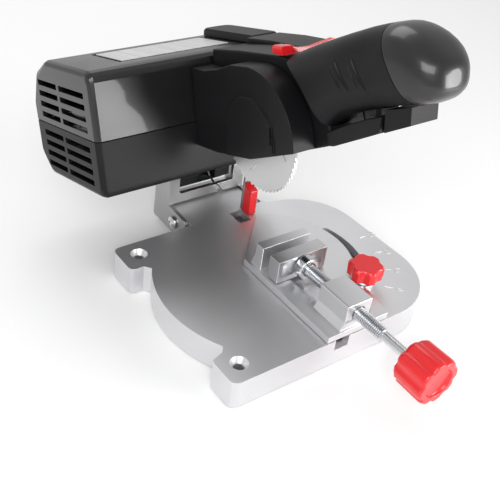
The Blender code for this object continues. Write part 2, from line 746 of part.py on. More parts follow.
def arm_profile(inset=0.0, step=0.0):
    """(a, b) outline of the drive arm between motor and blade arbor; step raises its back half."""
    i = inset
    points = [(-36.4 - i, 20.2 + i), (-36.4 - i, 62.0 + step - i), (-56.0, 63.4 + step * 0.6 - i)]
    points += arc(ARM_A, ARM_B, ARM_R - i, 86, 178, 10)
    points += [(-113.4 + i, 33.0 + i), (-78.0, 21.6 + i * 0.8)]
    return points


def make_arm(name, x0, x1, open_side, step=0.0):
    """One half of the drive-arm casing; the halves meet on a plane across the arm."""
    bm = bmesh.new()
    add_prism(bm, arm_profile(0.0, step), x0, x1, "X")
    case = finish(name, bm, "black_plastic", HEAD)
    room = bmesh.new()
    if open_side > 0:
        add_prism(room, arm_profile(2.4), x0 + 2.4, x1 + 1, "X")
    else:
        add_prism(room, arm_profile(2.4, step), x0 - 1, x1 - 2.4, "X")
    cut(case, cutter(room, HEAD))
    return case


def make_arm_left():
    case = make_arm("arm_case_left", 5.8, 24.0, 1)
    holes = bmesh.new()
    add_tube(holes, (BLADE_A, BLADE_B), [(6.4, 5.0), (6.4, 9.0), (0, 9.0), (0, 5.0)], 20, "X")
    cut(case, cutter(holes, HEAD))
    door = bmesh.new()
    add_box(door, (14.0, 30.0), (-42.0, -30.0), (22.6, 50.0))
    cut(case, cutter(door, HEAD))
    top = bmesh.new()
    add_box(top, (16.9, 22.1), (-87.0, -83.4), (60.0, 70.0))
    cut(case, cutter(top, HEAD))
    return case


def make_arm_right():
    case = make_arm("arm_case_right", 24.0 + GAP, 43.6, -1, 2.4)
    door = bmesh.new()
    add_box(door, (20.0, 41.0), (-42.0, -30.0), (22.6, 50.0))
    cut(case, cutter(door, HEAD))
    return case


# ---- handle ------------------------------------------------------------------------------
def grip_ring(a, low, high, half, x_mid, lean=0.0, count=20, power=2.6):
    """Closed super-ellipse section of the grip standing at one station along the arm."""
    ring = []
    mid = (low + high) / 2
    tall = (high - low) / 2
    for k in range(count):
        t = 2 * math.pi * k / count
        c = math.cos(t)
        s = math.sin(t)
        u = half * math.copysign(abs(c) ** (2 / power), c)
        v = tall * math.copysign(abs(s) ** (2 / power), s)
        ring.append((x_mid + u, a + lean * v, mid + v))
    return ring


GRIP_X = 11.0
GRIP_STATIONS = (
    # a, low, high, half width, lean
    (-93.0, 38.0, 66.0, 11.5, 0.0),
    (-104.0, 38.0, 70.0, 12.2, 0.0),
    (-114.0, 40.0, 73.4, 12.8, -0.04),
    (-123.0, 45.6, 76.4, 13.0, -0.1),
    (-132.0, 48.4, 79.4, 12.8, -0.2),
    (-140.6, 50.6, 81.4, 12.8, -0.25),
)
PALM_STATIONS = (
    (-141.1, 50.8, 81.5, 12.9, -0.25),
    (-147.0, 52.2, 82.0, 13.6, -0.22),
    (-154.0, 54.0, 80.8, 13.6, -0.15),
    (-160.8, 55.6, 78.0, 12.8, -0.08),
    (-166.0, 57.8, 74.4, 10.4, 0.0),
    (-169.6, 61.2, 70.6, 5.6, 0.0),
)


def trim_to_arm(obj):
    """Hollows the root of a handle piece so that it sits against the round front of the arm."""
    tool = bmesh.new()
    profile = [(ARM_R + GAP, -20.0), (ARM_R + GAP, 60.0), (0, 60.0), (0, -20.0)]
    add_tube(tool, (ARM_A, ARM_B), profile, 60, "X")
    return cut(obj, cutter(tool, HEAD))


def make_grip():
    bm = bmesh.new()
    rings = [grip_ring(a, lo, hi, half, GRIP_X, lean) for a, lo, hi, half, lean in GRIP_STATIONS]
    add_loft(bm, rings)
    grip = trim_to_arm(finish("grip", bm, "black_plastic", HEAD))
    room = bmesh.new()
    add_box(room, (GRIP_X - 6.4, GRIP_X + 6.4), (-137.6, -117.5), (30.0, 62.0))
    cut(grip, cutter(room, HEAD))
    grooves = bmesh.new()
    for k in range(4):
        a = -118.0 - k * 5.0
        add_box(grooves, (GRIP_X - 16.0, GRIP_X - 12.4), (a - 1.3, a + 1.3), (58.0 + k, 71.0 + k))
    cut(grip, cutter(grooves, HEAD))
    return grip


def make_palm_end():
    bm = bmesh.new()
    rings = [grip_ring(a, lo, hi, half, GRIP_X, lean) for a, lo, hi, half, lean in PALM_STATIONS]
    add_loft(bm, rings)
    palm = finish("palm_end", bm, "gloss_black", HEAD)
    pocket = bmesh.new()
    add_box(pocket, (GRIP_X - 7.4, GRIP_X + 7.4), (-159.4, -138.0), (46.0, 58.0))
    return cut(palm, cutter(pocket, HEAD))


def make_handle_rail():
    """Moulded root below the grip; its fork carries the trigger."""
    side = [(-110.0, 33.0), (-110.0, 37.6), (-117.0, 40.2), (-126.0, 44.2), (-137.0, 48.2),
            (-143.4, 50.0), (-142.0, 43.6), (-118.0, 34.2)]
    bm = bmesh.new()
    add_prism(bm, side, GRIP_X - 7.6, GRIP_X + 7.6, "X")
    rail = trim_to_arm(finish("handle_rail", bm, "black_plastic", HEAD))
    room = bmesh.new()
    add_prism(room, [(-150.0, 58.0), (-150.0, 36.0), (-120.6, 30.0), (-120.6, 58.0)],
              GRIP_X - 5.4, GRIP_X + 5.4, "X")
    cut(rail, cutter(room, HEAD))
    return rail


TRIGGER_HINGE = (-125.4, 40.8)


def make_trigger():
    """Squeeze bar hinged at its rear end, sprung downwards, with a broad finger pad in front."""
    side = rounded([(-128.0, 43.6), (-123.4, 43.0), (-122.6, 39.8), (-125.8, 38.6), (-143.0, 44.6),
                    (-146.0, 48.0), (-144.0, 50.0)], 0.8, 2)
    bm = bmesh.new()
    add_prism(bm, side, GRIP_X - 5.0, GRIP_X + 5.0, "X")
    trigger = finish("trigger", bm, "gloss_black", HEAD)
    pad = bmesh.new()
    side = [(-144.0, 44.0), (-156.4, 48.7), (-156.8, 53.0), (-150.0, 51.4), (-144.4, 50.2)]
    add_prism(pad, side, GRIP_X - 6.6, GRIP_X + 6.6, "X")
    cut(trigger, cutter(pad, HEAD), "UNION")
    bore = bmesh.new()
    add_tube(bore, TRIGGER_HINGE, [(1.5, 0.0), (1.5, 40.0), (0, 40.0), (0, 0.0)], 14, "X")
    cut(trigger, cutter(bore, HEAD))
    return trigger


def make_trigger_pin():
    bm = bmesh.new()
    add_tube(bm, TRIGGER_HINGE, [(0, GRIP_X - 5.1), (1.15, GRIP_X - 5.1), (1.15, GRIP_X + 5.1),
                                 (0, GRIP_X + 5.1)], 12, "X")
    return finish("trigger_pin", bm, "zinc_steel", HEAD)


def make_switch():
    bm = bmesh.new()
    add_box(bm, (GRIP_X - 4.6, GRIP_X + 4.6), (-136.6, -118.6), (53.2, 61.0))
    switch = finish("switch_body", bm, "carbon", HEAD)
    nib = bmesh.new()
    add_box(nib, (GRIP_X - 1.6, GRIP_X + 1.6), (-134.6, -131.6), (47.2, 53.6))
    cut(switch, cutter(nib, HEAD), "UNION")
    return switch


LEVER_A = (-86.6, -83.8)       # the rocker lies across the arm
LEVER_HINGE = (19.5, 64.0)


def make_lock_off_lever():
    """Red rocker across the top of the arm: paddle on the left, slim bar on the right."""
    side = rounded([(4.2, 64.9), (4.0, 68.4), (9.8, 68.2), (13.0, 66.6), (18.0, 66.0), (21.2, 66.0),
                    (33.0, 67.8), (33.4, 66.4), (21.6, 64.7), (21.4, 62.4), (17.6, 62.4), (17.4, 64.7)],
                   [0.6, 1.0, 1.2, 1, 0, 0, 0.5, 0.5, 0, 1.4, 1.4, 0], 2)
    bm = bmesh.new()
    add_prism(bm, side, LEVER_A[0], LEVER_A[1], "Y")
    lever = finish("lock_off_lever", bm, "red_plastic", HEAD)
    pad = bmesh.new()
    side = rounded([(4.2, 64.9), (4.0, 68.4), (9.8, 68.2), (10.6, 64.9)], [0.6, 1.0, 1.2, 0.6], 2)
    add_prism(pad, side, LEVER_A[0] - 1.6, LEVER_A[1] + 1.6, "Y")
    cut(lever, cutter(pad, HEAD), "UNION")
    return lever


def make_deck():
    """Raised rear deck moulding behind the arm, lying on top of the motor housing."""
    bm = bmesh.new()
    rings = []
    outline = rounded([(28.6, 8.0), (28.6, -36.0), (44.4, -36.0), (44.4, 8.0)], [4, 1, 3, 5], 3)
    for b, s in ((61.1, 1.0), (63.6, 0.98), (64.6, 0.92)):
        rings.append([(36.5 + (x - 36.5) * s, -14.0 + (a + 14.0) * s, b) for x, a in outline])
    add_loft(bm, rings)
    return finish("rear_deck", bm, "black_plastic", HEAD)


# ---- motor -------------------------------------------------------------------------------
def make_stator():
    bm = bmesh.new()
    profile = [(16.4, -30.0), (21.0, -30.0), (21.0, 2.0), (16.4, 2.0)]
    add_tube(bm, (MOTOR_A, MOTOR_B), profile, 28, "X")
    return finish("motor_field", bm, "dark_steel", HEAD)


def make_armature():
    profile = [(2.0, -26.0), (15.6, -26.0), (15.6, -2.0), (2.0, -2.0)]
    bm = bmesh.new()
    add_tube(bm, (MOTOR_A, MOTOR_B), [(2.3, -26.0), (15.6, -26.0), (15.6, -2.0), (2.3, -2.0)], 24, "X")
    return finish("armature", bm, "copper", HEAD)


def make_motor_shaft():
    bm = bmesh.new()
    add_tube(bm, (MOTOR_A, MOTOR_B), [(0, -47.0), (2.0, -47.0), (2.0, 36.0), (0, 36.0)], 16, "X")
    return finish("motor_shaft", bm, "zinc_steel", HEAD)


def make_commutator():
    bm = bmesh.new()
    add_tube(bm, (MOTOR_A, MOTOR_B), [(2.3, -40.0), (6.6, -40.0), (6.6, -31.0), (2.3, -31.0)], 24, "X")
    return finish("commutator", bm, "copper", HEAD)


def make_fan():
    """Cooling fan: hub, back plate and radial vanes."""
    bm = bmesh.new()
    add_tube(bm, (MOTOR_A, MOTOR_B), [(2.3, 6.0), (17.0, 6.0), (17.0, 7.4), (6.0, 7.4), (6.0, 12.0),
                                      (2.3, 12.0)], 28, "X")
    fan = finish("cooling_fan", bm, "white_plastic", HEAD)
    vanes = bmesh.new()
    for k in range(10):
        t = 2 * math.pi * k / 10
        c = math.cos(t)
        s = math.sin(t)
        corners = [(5.0, -0.6), (16.6, -0.6), (16.6, 0.6), (5.0, 0.6)]
        add_prism(vanes, [(MOTOR_A + u * c - v * s, MOTOR_B + u * s + v * c) for u, v in corners],
                  7.0, 11.4, "X")
    cut(fan, cutter(vanes, HEAD), "UNION")
    return fan


def make_bearing(name, centre, x0, x1, bore, outer):
    bm = bmesh.new()
    add_tube(bm, centre, [(bore, x0), (outer, x0), (outer, x1), (bore, x1)], 20, "X")
    return finish(name, bm, "zinc_steel", HEAD)


def make_brush_box(name, side):
    """Brass-lined holder for one carbon brush, open towards the commutator."""
    b0 = MOTOR_B + side * 9.6
    b1 = MOTOR_B + side * 18.0
    bm = bmesh.new()
    add_box(bm, (-39.0, -32.0), (MOTOR_A - 4.0, MOTOR_A + 4.0), (min(b0, b1), max(b0, b1)))
    box = finish(name, bm, "carbon", HEAD)
    room = bmesh.new()
    lo = MOTOR_B + side * 8.0
    hi = MOTOR_B + side * 16.4
    add_box(room, (-37.6, -33.4), (MOTOR_A - 2.6, MOTOR_A + 2.6), (min(lo, hi), max(lo, hi)))
    cut(box, cutter(room, HEAD))
    return box


def make_brush(name, side):
    lo = MOTOR_B + side * 7.0
    hi = MOTOR_B + side * 14.0
    bm = bmesh.new()
    add_box(bm, (-37.2, -33.8), (MOTOR_A - 2.2, MOTOR_A + 2.2), (min(lo, hi), max(lo, hi)))
    return finish(name, bm, "carbon", HEAD)


def toothed(radius, depth, teeth):
    points = []
    for k in range(teeth):
        for phase, r in ((0.0, radius), (0.45, radius), (0.55, radius - depth), (0.9, radius - depth)):
            t = 2 * math.pi * (k + phase) / teeth
            points.append((r * math.cos(t), r * math.sin(t)))
    return points


def make_pulley(name, a, b, bore):
    """Toothed belt pulley with two flanges."""
    bm = bmesh.new()
    outline = [(a + u, b + v) for u, v in toothed(6.5, 0.6, 12)]
    add_prism(bm, outline, 26.2, 33.8, "X")
    pulley = finish(name, bm, "machined_aluminium", HEAD)
    rims = bmesh.new()
    add_tube(rims, (a, b), [(bore, 25.6), (7.6, 25.6), (7.6, 26.6), (bore, 26.6)], 24, "X")
    add_tube(rims, (a, b), [(bore, 33.4), (7.6, 33.4), (7.6, 34.4), (bore, 34.4)], 24, "X")
    cut(pulley, cutter(rims, HEAD), "UNION")
    hole = bmesh.new()
    add_tube(hole, (a, b), [(bore, 20.0), (bore, 40.0), (0, 40.0), (0, 20.0)], 16, "X")
    cut(pulley, cutter(hole, HEAD))
    return pulley


def make_belt():
    """Toothed belt round both pulleys."""
    def loop(radius):
        angle = math.degrees(math.atan2(MOTOR_B - BLADE_B, MOTOR_A - BLADE_A))
        points = arc(MOTOR_A, MOTOR_B, radius, angle - 90, angle + 90, 12)
        points += arc(BLADE_A, BLADE_B, radius, angle + 90, angle + 270, 12)
        return points
    outer = loop(8.0)
    inner = loop(6.85)
    bm = bmesh.new()
    rows = []
    for x in (27.0, 33.0):
        rows.append(([bm.verts.new((x, a, b)) for a, b in outer],
                     [bm.verts.new((x, a, b)) for a, b in inner]))
    count = len(outer)
    for k in range(count):
        m = (k + 1) % count
        bm.faces.new((rows[0][0][k], rows[0][0][m], rows[1][0][m], rows[1][0][k]))
        bm.faces.new((rows[0][1][m], rows[0][1][k], rows[1][1][k], rows[1][1][m]))
        bm.faces.new((rows[0][0][m], rows[0][0][k], rows[0][1][k], rows[0][1][m]))
        bm.faces.new((rows[1][0][k], rows[1][0][m], rows[1][1][m], rows[1][1][k]))
    return finish("drive_belt", bm, "belt_rubber", HEAD)


# ---- blade set ---------------------------------------------------------------------------
def make_arbor():
    bm = bmesh.new()
    profile = [(0, -4.6), (2.0, -4.6), (2.0, 1.0), (4.7, 1.0), (4.7, 3.0), (2.9, 3.0), (2.9, 36.0), (0, 36.0)]
    add_tube(bm, (BLADE_A, BLADE_B), profile, 20, "X")
    return finish("arbor", bm, "zinc_steel", HEAD)


def make_blade():
    teeth = 60
    outline = []
    for k in range(teeth):
        for phase, r in ((0.0, BLADE_R), (0.72, BLADE_R - 1.1)):
            t = -2 * math.pi * (k + phase) / teeth
            outline.append((BLADE_A + r * math.cos(t), BLADE_B + r * math.sin(t)))
    bm = bmesh.new()
    add_prism(bm, outline, -0.35, 0.35, "X")
    blade = finish("saw_blade", bm, "blade_steel", HEAD)
    hole = bmesh.new()
    add_tube(hole, (BLADE_A, BLADE_B), [(5.0, -2.0), (5.0, 2.0), (0, 2.0), (0, -2.0)], 24, "X")
    cut(blade, cutter(hole, HEAD))
    return blade


def make_flange():
    bm = bmesh.new()
    profile = [(2.3, -2.0), (8.2, -2.0), (8.2, -0.65), (2.3, -0.65)]
    add_tube(bm, (BLADE_A, BLADE_B), profile, 24, "X")
    return finish("outer_flange", bm, "zinc_steel", HEAD)


def make_blade_screw():
    bm = bmesh.new()
    profile = [(2.3, -2.3), (5.0, -2.3), (5.0, -4.8), (4.4, -5.4), (0, -5.4), (0, -4.9), (2.3, -4.9)]
    add_tube(bm, (BLADE_A, BLADE_B), profile, 20, "X")
    return finish("blade_screw", bm, "zinc_steel", HEAD)


def make_cord_gland():
    """Moulded inlet at the back of the lower housing for the supply lead."""
    bm = bmesh.new()
    profile = [(2.4, 28.4), (5.4, 28.4), (5.4, 30.2), (4.2, 31.2), (3.6, 38.0), (2.4, 38.0)]
    add_tube(bm, (36.0, 22.0), profile, 20, "Y")
    return finish("cord_gland", bm, "black_plastic", HEAD)


# ---- assembly ----------------------------------------------------------------------------
def build():
    for obj in list(bpy.data.objects):
        bpy.data.objects.remove(obj, do_unlink=True)

    make_base()
    make_bracket()
    make_bracket_screw("bracket_screw_left", -1)
    make_bracket_screw("bracket_screw_right", 1)
    make_stop_post()
    make_stop_strip()
    make_hinge_pin()
    make_hinge_spring()
    make_vise_pivot()

    vise = [make_vise_body(), make_lock_bolt(), make_lock_washer()]
    lock = [make_lock_knob()]
    jaw = [make_movable_jaw()]
    screw = [make_lead_screw(), make_screw_collar(), make_screw_knob()]

    head = [make_housing_upper(), make_housing_lower(), make_rating_plate(), make_deck()]
    head += [make_blade_guard(), make_arm_left(), make_arm_right(), make_grip(), make_palm_end()]
    head += [make_handle_rail(), make_trigger_pin(), make_switch(), make_cord_gland()]
    head += [make_stator(), make_belt()]
    head += [make_bearing("bearing_rear", (MOTOR_A, MOTOR_B), -47.0, -43.0, 2.3, 8.0)]
    head += [make_bearing("bearing_drive", (MOTOR_A, MOTOR_B), 15.0, 19.0, 2.3, 8.0)]
    head += [make_bearing("bearing_arbor", (BLADE_A, BLADE_B), 9.4, 13.6, 3.2, 7.6)]
    head += [make_brush_box("brush_box_top", 1), make_brush_box("brush_box_bottom", -1)]
    head += [make_brush("brush_top", 1), make_brush("brush_bottom", -1)]
    trigger = [make_trigger()]
    lever = [make_lock_off_lever()]
    rotor = [make_armature(), make_motor_shaft(), make_commutator(), make_fan(),
             make_pulley("motor_pulley", MOTOR_A, MOTOR_B, 2.3)]
    spindle = [make_arbor(), make_blade(), make_flange(), make_blade_screw(),
               make_pulley("arbor_pulley", BLADE_A, BLADE_B, 3.2)]

    vx, vy = VISE_AXIS
    cx, cy = lock_centre()
    mount_on(joint_empty("axis_vise_swivel", (vx * MM, vy * MM, BASE_H * MM)), vise)
    mount_on(joint_empty("axis_lock_knob", (cx * MM, cy * MM, 20 * MM)), lock)
    mount_on(joint_empty("axis_jaw_slide", (vx * MM, -12 * MM, SCREW_Z * MM)), jaw)
    mount_on(joint_empty("axis_lead_screw", (vx * MM, -60 * MM, SCREW_Z * MM)), screw)
    mount_on(joint_empty("axis_head_hinge", (18.2 * MM, PIVOT_Y * MM, PIVOT_Z * MM)), head)
    mount_on(joint_empty("axis_trigger", head_point(GRIP_X, *TRIGGER_HINGE)), trigger)
    mount_on(joint_empty("axis_lock_off_lever", head_point(LEVER_HINGE[0], LEVER_A[0] / 2 + LEVER_A[1] / 2, LEVER_HINGE[1])), lever)
    mount_on(joint_empty("axis_motor", head_point(0, MOTOR_A, MOTOR_B)), rotor)
    mount_on(joint_empty("axis_arbor", head_point(0, BLADE_A, BLADE_B)), spindle)


build()
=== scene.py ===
import math

import bpy
from mathutils import Matrix, Vector


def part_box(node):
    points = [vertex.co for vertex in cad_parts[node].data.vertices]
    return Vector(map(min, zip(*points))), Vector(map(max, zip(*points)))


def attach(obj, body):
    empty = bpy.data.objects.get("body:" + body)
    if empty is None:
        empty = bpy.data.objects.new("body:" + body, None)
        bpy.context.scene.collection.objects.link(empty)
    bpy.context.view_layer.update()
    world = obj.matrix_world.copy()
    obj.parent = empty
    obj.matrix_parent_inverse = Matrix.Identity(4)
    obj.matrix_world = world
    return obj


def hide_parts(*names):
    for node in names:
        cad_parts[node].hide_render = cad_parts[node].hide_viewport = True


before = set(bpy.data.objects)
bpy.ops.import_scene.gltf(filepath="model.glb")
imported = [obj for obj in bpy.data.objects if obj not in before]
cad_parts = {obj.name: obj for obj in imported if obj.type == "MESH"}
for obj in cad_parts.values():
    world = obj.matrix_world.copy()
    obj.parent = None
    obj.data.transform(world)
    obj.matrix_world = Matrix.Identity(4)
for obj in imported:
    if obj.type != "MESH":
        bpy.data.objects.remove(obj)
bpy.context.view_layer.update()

MM = 0.001

# ---- room -------------------------------------------------------------------------------
# A pale table under soft studio light, and the camera above the operator's left shoulder.
bpy.ops.object.select_all(action="DESELECT")
bpy.ops.mesh.primitive_plane_add(size=6.0, location=(0, 0, -0.0004))
table = bpy.context.object
table.name = "table_top"

paper = bpy.data.materials.new("table_paper")
paper.use_nodes = True
paper.node_tree.nodes["Principled BSDF"].inputs["Base Color"].default_value = (0.97, 0.97, 0.97, 1)
paper.node_tree.nodes["Principled BSDF"].inputs["Roughness"].default_value = 0.9
paper.node_tree.nodes["Principled BSDF"].inputs["Specular IOR Level"].default_value = 0.1
table.data.materials.append(paper)

sky = bpy.data.worlds.new("studio")
sky.use_nodes = True
sky.node_tree.nodes["Background"].inputs[0].default_value = (1, 1, 1, 1)
sky.node_tree.nodes["Background"].inputs[1].default_value = 0.60
bpy.context.scene.world = sky


def softbox(name, where, aim, width, height, watts):
    """A rectangular lamp at a place, turned to face another."""
    bpy.ops.object.light_add(type="AREA", location=where)
    lamp = bpy.context.object
    lamp.name = name
    lamp.data.shape = "RECTANGLE"
    lamp.data.size = width
    lamp.data.size_y = height
    lamp.data.energy = watts
    lamp.rotation_euler = (Vector(aim) - Vector(where)).to_track_quat("-Z", "Y").to_euler()
    return lamp


softbox("key_over_left", (-0.44, -0.46, 0.46), (0.0, -0.04, 0.10), 0.50, 0.36, 3.0)
softbox("low_front_right", (0.25, -0.42, 0.12), (-0.02, 0.05, 0.08), 0.24, 0.16, 1.3)
softbox("top_back", (0.10, 0.55, 0.70), (0.0, 0.0, 0.05), 0.6, 0.4, 1.8)

camera_data = bpy.data.cameras.new("camera")
camera = bpy.data.objects.new("camera", camera_data)
bpy.context.scene.collection.objects.link(camera)
camera_data.sensor_width = 36.0
camera_data.lens = 59.03
camera_data.clip_start = 0.01
right_hand = Vector((0.80495, -0.58189, 0.11601))
downward = Vector((-0.27246, -0.53618, -0.79892))
forward = Vector((0.52709, 0.61148, -0.59014))
turn = Matrix((right_hand, -downward, -forward)).transposed().to_4x4()
camera.matrix_world = Matrix.Translation((-0.19532, -0.22475, 0.24560)) @ turn
bpy.context.scene.camera = camera
bpy.context.scene.view_settings.view_transform = "Standard"


# ---- base casting -----------------------------------------------------------------------
# The foot of the saw, one pressure casting in aluminium alloy, tumbled and left bare.
# It stands flat on the bench and is screwed or clamped down through its two lugs.
class Lead:
    """One output of a finish's node; arithmetic on it adds Math nodes."""

    def __init__(self, tree, socket):
        self.tree = tree
        self.socket = socket

    def join(self, operation, other, swapped=False):
        node = self.tree.nodes.new("ShaderNodeMath")
        node.operation = operation
        ends = (other, self) if swapped else (self, other)
        for slot, end in zip(node.inputs, ends):
            if isinstance(end, Lead):
                self.tree.links.new(end.socket, slot)
            else:
                slot.default_value = end
        return Lead(self.tree, node.outputs[0])

    def __add__(self, other):
        return self.join("ADD", other)

    def __radd__(self, other):
        return self.join("ADD", other, True)

    def __sub__(self, other):
        return self.join("SUBTRACT", other)

    def __rsub__(self, other):
        return self.join("SUBTRACT", other, True)

    def __mul__(self, other):
        return self.join("MULTIPLY", other)

    def __rmul__(self, other):
        return self.join("MULTIPLY", other, True)

    def __pow__(self, other):
        return self.join("POWER", other)

    def __gt__(self, other):
        return self.join("GREATER_THAN", other)

    def __lt__(self, other):
        return self.join("LESS_THAN", other)


class Finish:
    """A finish being mixed: a material, its nodes and the shader they feed."""

    def __init__(self, name, **plain):
        self.material = bpy.data.materials.new(name)
        self.material.use_nodes = True
        self.tree = self.material.node_tree
        self.shader = self.tree.nodes["Principled BSDF"]
        for word, value in plain.items():
            self.shader.inputs[word.replace("_", " ").replace("Specular Level", "Specular IOR Level")].default_value = value

    def node(self, kind, output, settings=None, **sockets):
        made = self.tree.nodes.new("ShaderNode" + kind)
        for word, value in (settings or {}).items():
            if word == "stops":
                for k, (at, shade) in enumerate(value):
                    stop = made.color_ramp.elements[k] if k < 2 else made.color_ramp.elements.new(at)
                    stop.position = at
                    stop.color = shade
            else:
                setattr(made, word, value)
        for word, value in sockets.items():
            slot = made.inputs[word.replace("_", " ")] if not word.startswith("i") or not word[1:].isdigit() \
                else made.inputs[int(word[1:])]
            if isinstance(value, Lead):
                self.tree.links.new(value.socket, slot)
            else:
                slot.default_value = value
        return Lead(self.tree, made.outputs[output])

    def here(self, scale=(1, 1, 1), turn=(0, 0, 0), move=(0, 0, 0)):
        place = self.node("TexCoord", "Object")
        return self.node("Mapping", "Vector", Vector=place, Location=move, Rotation=turn, Scale=scale)

    def noise(self, where, scale, detail=2.0, rough=0.5):
        return self.node("TexNoise", "Fac", Vector=where, Scale=scale, Detail=detail, Roughness=rough)

    def blend(self, amount, low, high):
        mixed = self.node("Mix", 2, {"data_type": "RGBA"}, i0=amount, i6=(*low, 1), i7=(*high, 1))
        return mixed

    def feed(self, word, lead):
        self.tree.links.new(lead.socket, self.shader.inputs[word])

    def grain(self, height, depth, strength=1.0):
        self.feed("Normal", self.node("Bump", "Normal", Height=height, Distance=depth, Strength=strength))


def cast_alloy(name, low, high, rough, grain_scale=1500.0):
    """Bare cast alloy: faint cloudy tone, a fine blasted grain and a soft sheen."""
    mix = Finish(name, Metallic=0.92)
    where = mix.here()
    cloud = mix.noise(where, 26.0, 3.0, 0.55)
    speck = mix.noise(where, grain_scale, 2.0, 0.6)
    mix.feed("Base Color", mix.blend(cloud, low, high))
    mix.feed("Roughness", rough + cloud * 0.10 + speck * 0.06)
    mix.grain(speck * 0.6 + mix.noise(where, 260.0, 2.0) * 0.4, 0.00012, 0.55)
    return mix.material


def pick(piece):
    """Makes one object the only one selected and the active one."""
    bpy.ops.object.select_all(action="DESELECT")
    piece.select_set(True)
    bpy.context.view_layer.objects.active = piece


def welded(node, name, whole_flats=True):
    """A loose copy of a frame node with its triangles joined and its flats made whole."""
    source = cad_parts[node]
    piece = bpy.data.objects.new(name, source.data.copy())
    bpy.context.scene.collection.objects.link(piece)
    pick(piece)
    bpy.ops.object.mode_set(mode="EDIT")
    bpy.ops.mesh.select_all(action="SELECT")
    bpy.ops.mesh.remove_doubles(threshold=0.000002)
    if whole_flats:
        bpy.ops.mesh.dissolve_limited(angle_limit=math.radians(0.8))
    bpy.ops.object.mode_set(mode="OBJECT")
    return piece


def eased(piece, width, steps=2, limit=28.0, smooth=32.0, clamp=True):
    """Rounds the sharp edges of a piece and shades it smooth."""
    pick(piece)
    soft = piece.modifiers.new("ease", "BEVEL")
    soft.width = width * MM
    soft.segments = steps
    soft.limit_method = "ANGLE"
    soft.angle_limit = math.radians(limit)
    soft.use_clamp_overlap = clamp
    soft.miter_outer = "MITER_ARC"
    bpy.ops.object.modifier_apply(modifier=soft.name)
    bpy.ops.object.shade_smooth_by_angle(angle=math.radians(smooth))
    flatten = piece.modifiers.new("true_flats", "WEIGHTED_NORMAL")
    flatten.keep_sharp = True
    flatten.weight = 80
    bpy.ops.object.modifier_apply(modifier=flatten.name)
    return piece


def dress(piece, material, body=None, stands_for=()):
    """Gives a piece its finish, the body it rides on and the nodes it stands for."""
    piece.data.materials.clear()
    piece.data.materials.append(material)
    if body:
        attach(piece, body)
    if stands_for:
        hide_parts(*stands_for)
    return piece


alloy = cast_alloy("bare_cast_alloy", (0.72, 0.72, 0.74), (0.80, 0.80, 0.81), 0.38)
base = eased(welded("base_plate", "base_casting"), 0.7, 3)
dress(base, alloy, "base", ["base_plate"])

# Protractor marks on the right of the base: raised ticks and figures cast with it, every
# fifteen degrees round the swivel axis of the vise.
swivel = Vector((0.0178, 0.0, 0.0))
deck = 0.0140
for k, figure in enumerate(("0", "15", "30", "45")):
    angle = math.radians(-47.0 + 15.0 * k)
    bpy.ops.object.select_all(action="DESELECT")
    reach = 0.0520
    spot = (swivel.x + reach * math.cos(angle), swivel.y + reach * math.sin(angle), deck + 0.00012)
    bpy.ops.mesh.primitive_cube_add(size=1, location=spot, rotation=(0, 0, angle),
                                    scale=(0.0042, 0.0005, 0.0004))
    tick = bpy.context.object
    tick.name = "protractor_tick_" + figure
    bpy.ops.object.transform_apply(location=True, rotation=True, scale=True)
    dress(eased(tick, 0.12), alloy, "base")
    reach = 0.0560
    spot = (swivel.x + reach * math.cos(angle), swivel.y + reach * math.sin(angle), deck + 0.0001)
    bpy.ops.object.text_add(location=spot, rotation=(0, 0, angle - math.pi / 2))
    label = bpy.context.object
    label.name = "protractor_figure_" + figure
    label.data.body = figure
    label.data.size = 0.0042
    label.data.extrude = 0.00012
    label.data.align_x = "CENTER"
    bpy.ops.object.convert(target="MESH")
    label = bpy.context.object
    bpy.ops.object.transform_apply(location=True, rotation=True, scale=True)
    dress(label, alloy, "base")


# ---- head bracket, its screws and the stop ------------------------------------------------
# Folded steel sheet, dull plated, fixed to the rear block by a screw on each side. The red
# post in front of it is a push-in moulding that stops the head; a steel tongue backs it.
def rolled_steel(name, low, high, rough, metal=1.0):
    """Cold rolled sheet or bar: fine streaks along one way and a slightly uneven sheen."""
    mix = Finish(name, Metallic=metal)
    streak = mix.noise(mix.here(scale=(1, 1, 0.06)), 900.0, 3.0, 0.6)
    cloud = mix.noise(mix.here(), 60.0, 2.0)
    mix.feed("Base Color", mix.blend(cloud, low, high))
    mix.feed("Roughness", rough + streak * 0.12)
    mix.grain(streak, 0.00005, 0.35)
    return mix.material


sheet_steel = rolled_steel("plated_sheet", (0.40, 0.40, 0.40), (0.50, 0.50, 0.50), 0.34)
bracket = dress(eased(welded("head_bracket", "bracket_sheet", False), 0.25, clamp=False), sheet_steel, "base",
                ["head_bracket"])
dress(eased(welded("stop_strip", "stop_tongue"), 0.25), sheet_steel, "base", ["stop_strip"])

zinc = rolled_steel("bright_zinc", (0.66, 0.67, 0.69), (0.78, 0.79, 0.80), 0.16)


def moulded(name, low, high, rough, grain_scale, depth, coat=0.0, sheen=0.5):
    """Injection moulded plastic: even colour, a fine spark-eroded grain, optional gloss."""
    mix = Finish(name, Metallic=0.0, Coat_Weight=coat, Coat_Roughness=0.06, Specular_Level=sheen)
    where = mix.here()
    cloud = mix.noise(where, 40.0, 2.0)
    speck = mix.noise(where, grain_scale, 2.0, 0.55)
    mix.feed("Base Color", mix.blend(cloud, low, high))
    mix.feed("Roughness", rough + cloud * 0.08)
    mix.grain(speck, depth, 0.5)
    return mix.material


red = moulded("red_moulding", (0.70, 0.008, 0.012), (0.82, 0.014, 0.02), 0.24, 900.0, 0.00003, 0.35)
dress(eased(welded("stop_post", "stop_block"), 0.45, 3), red, "base", ["stop_post"])

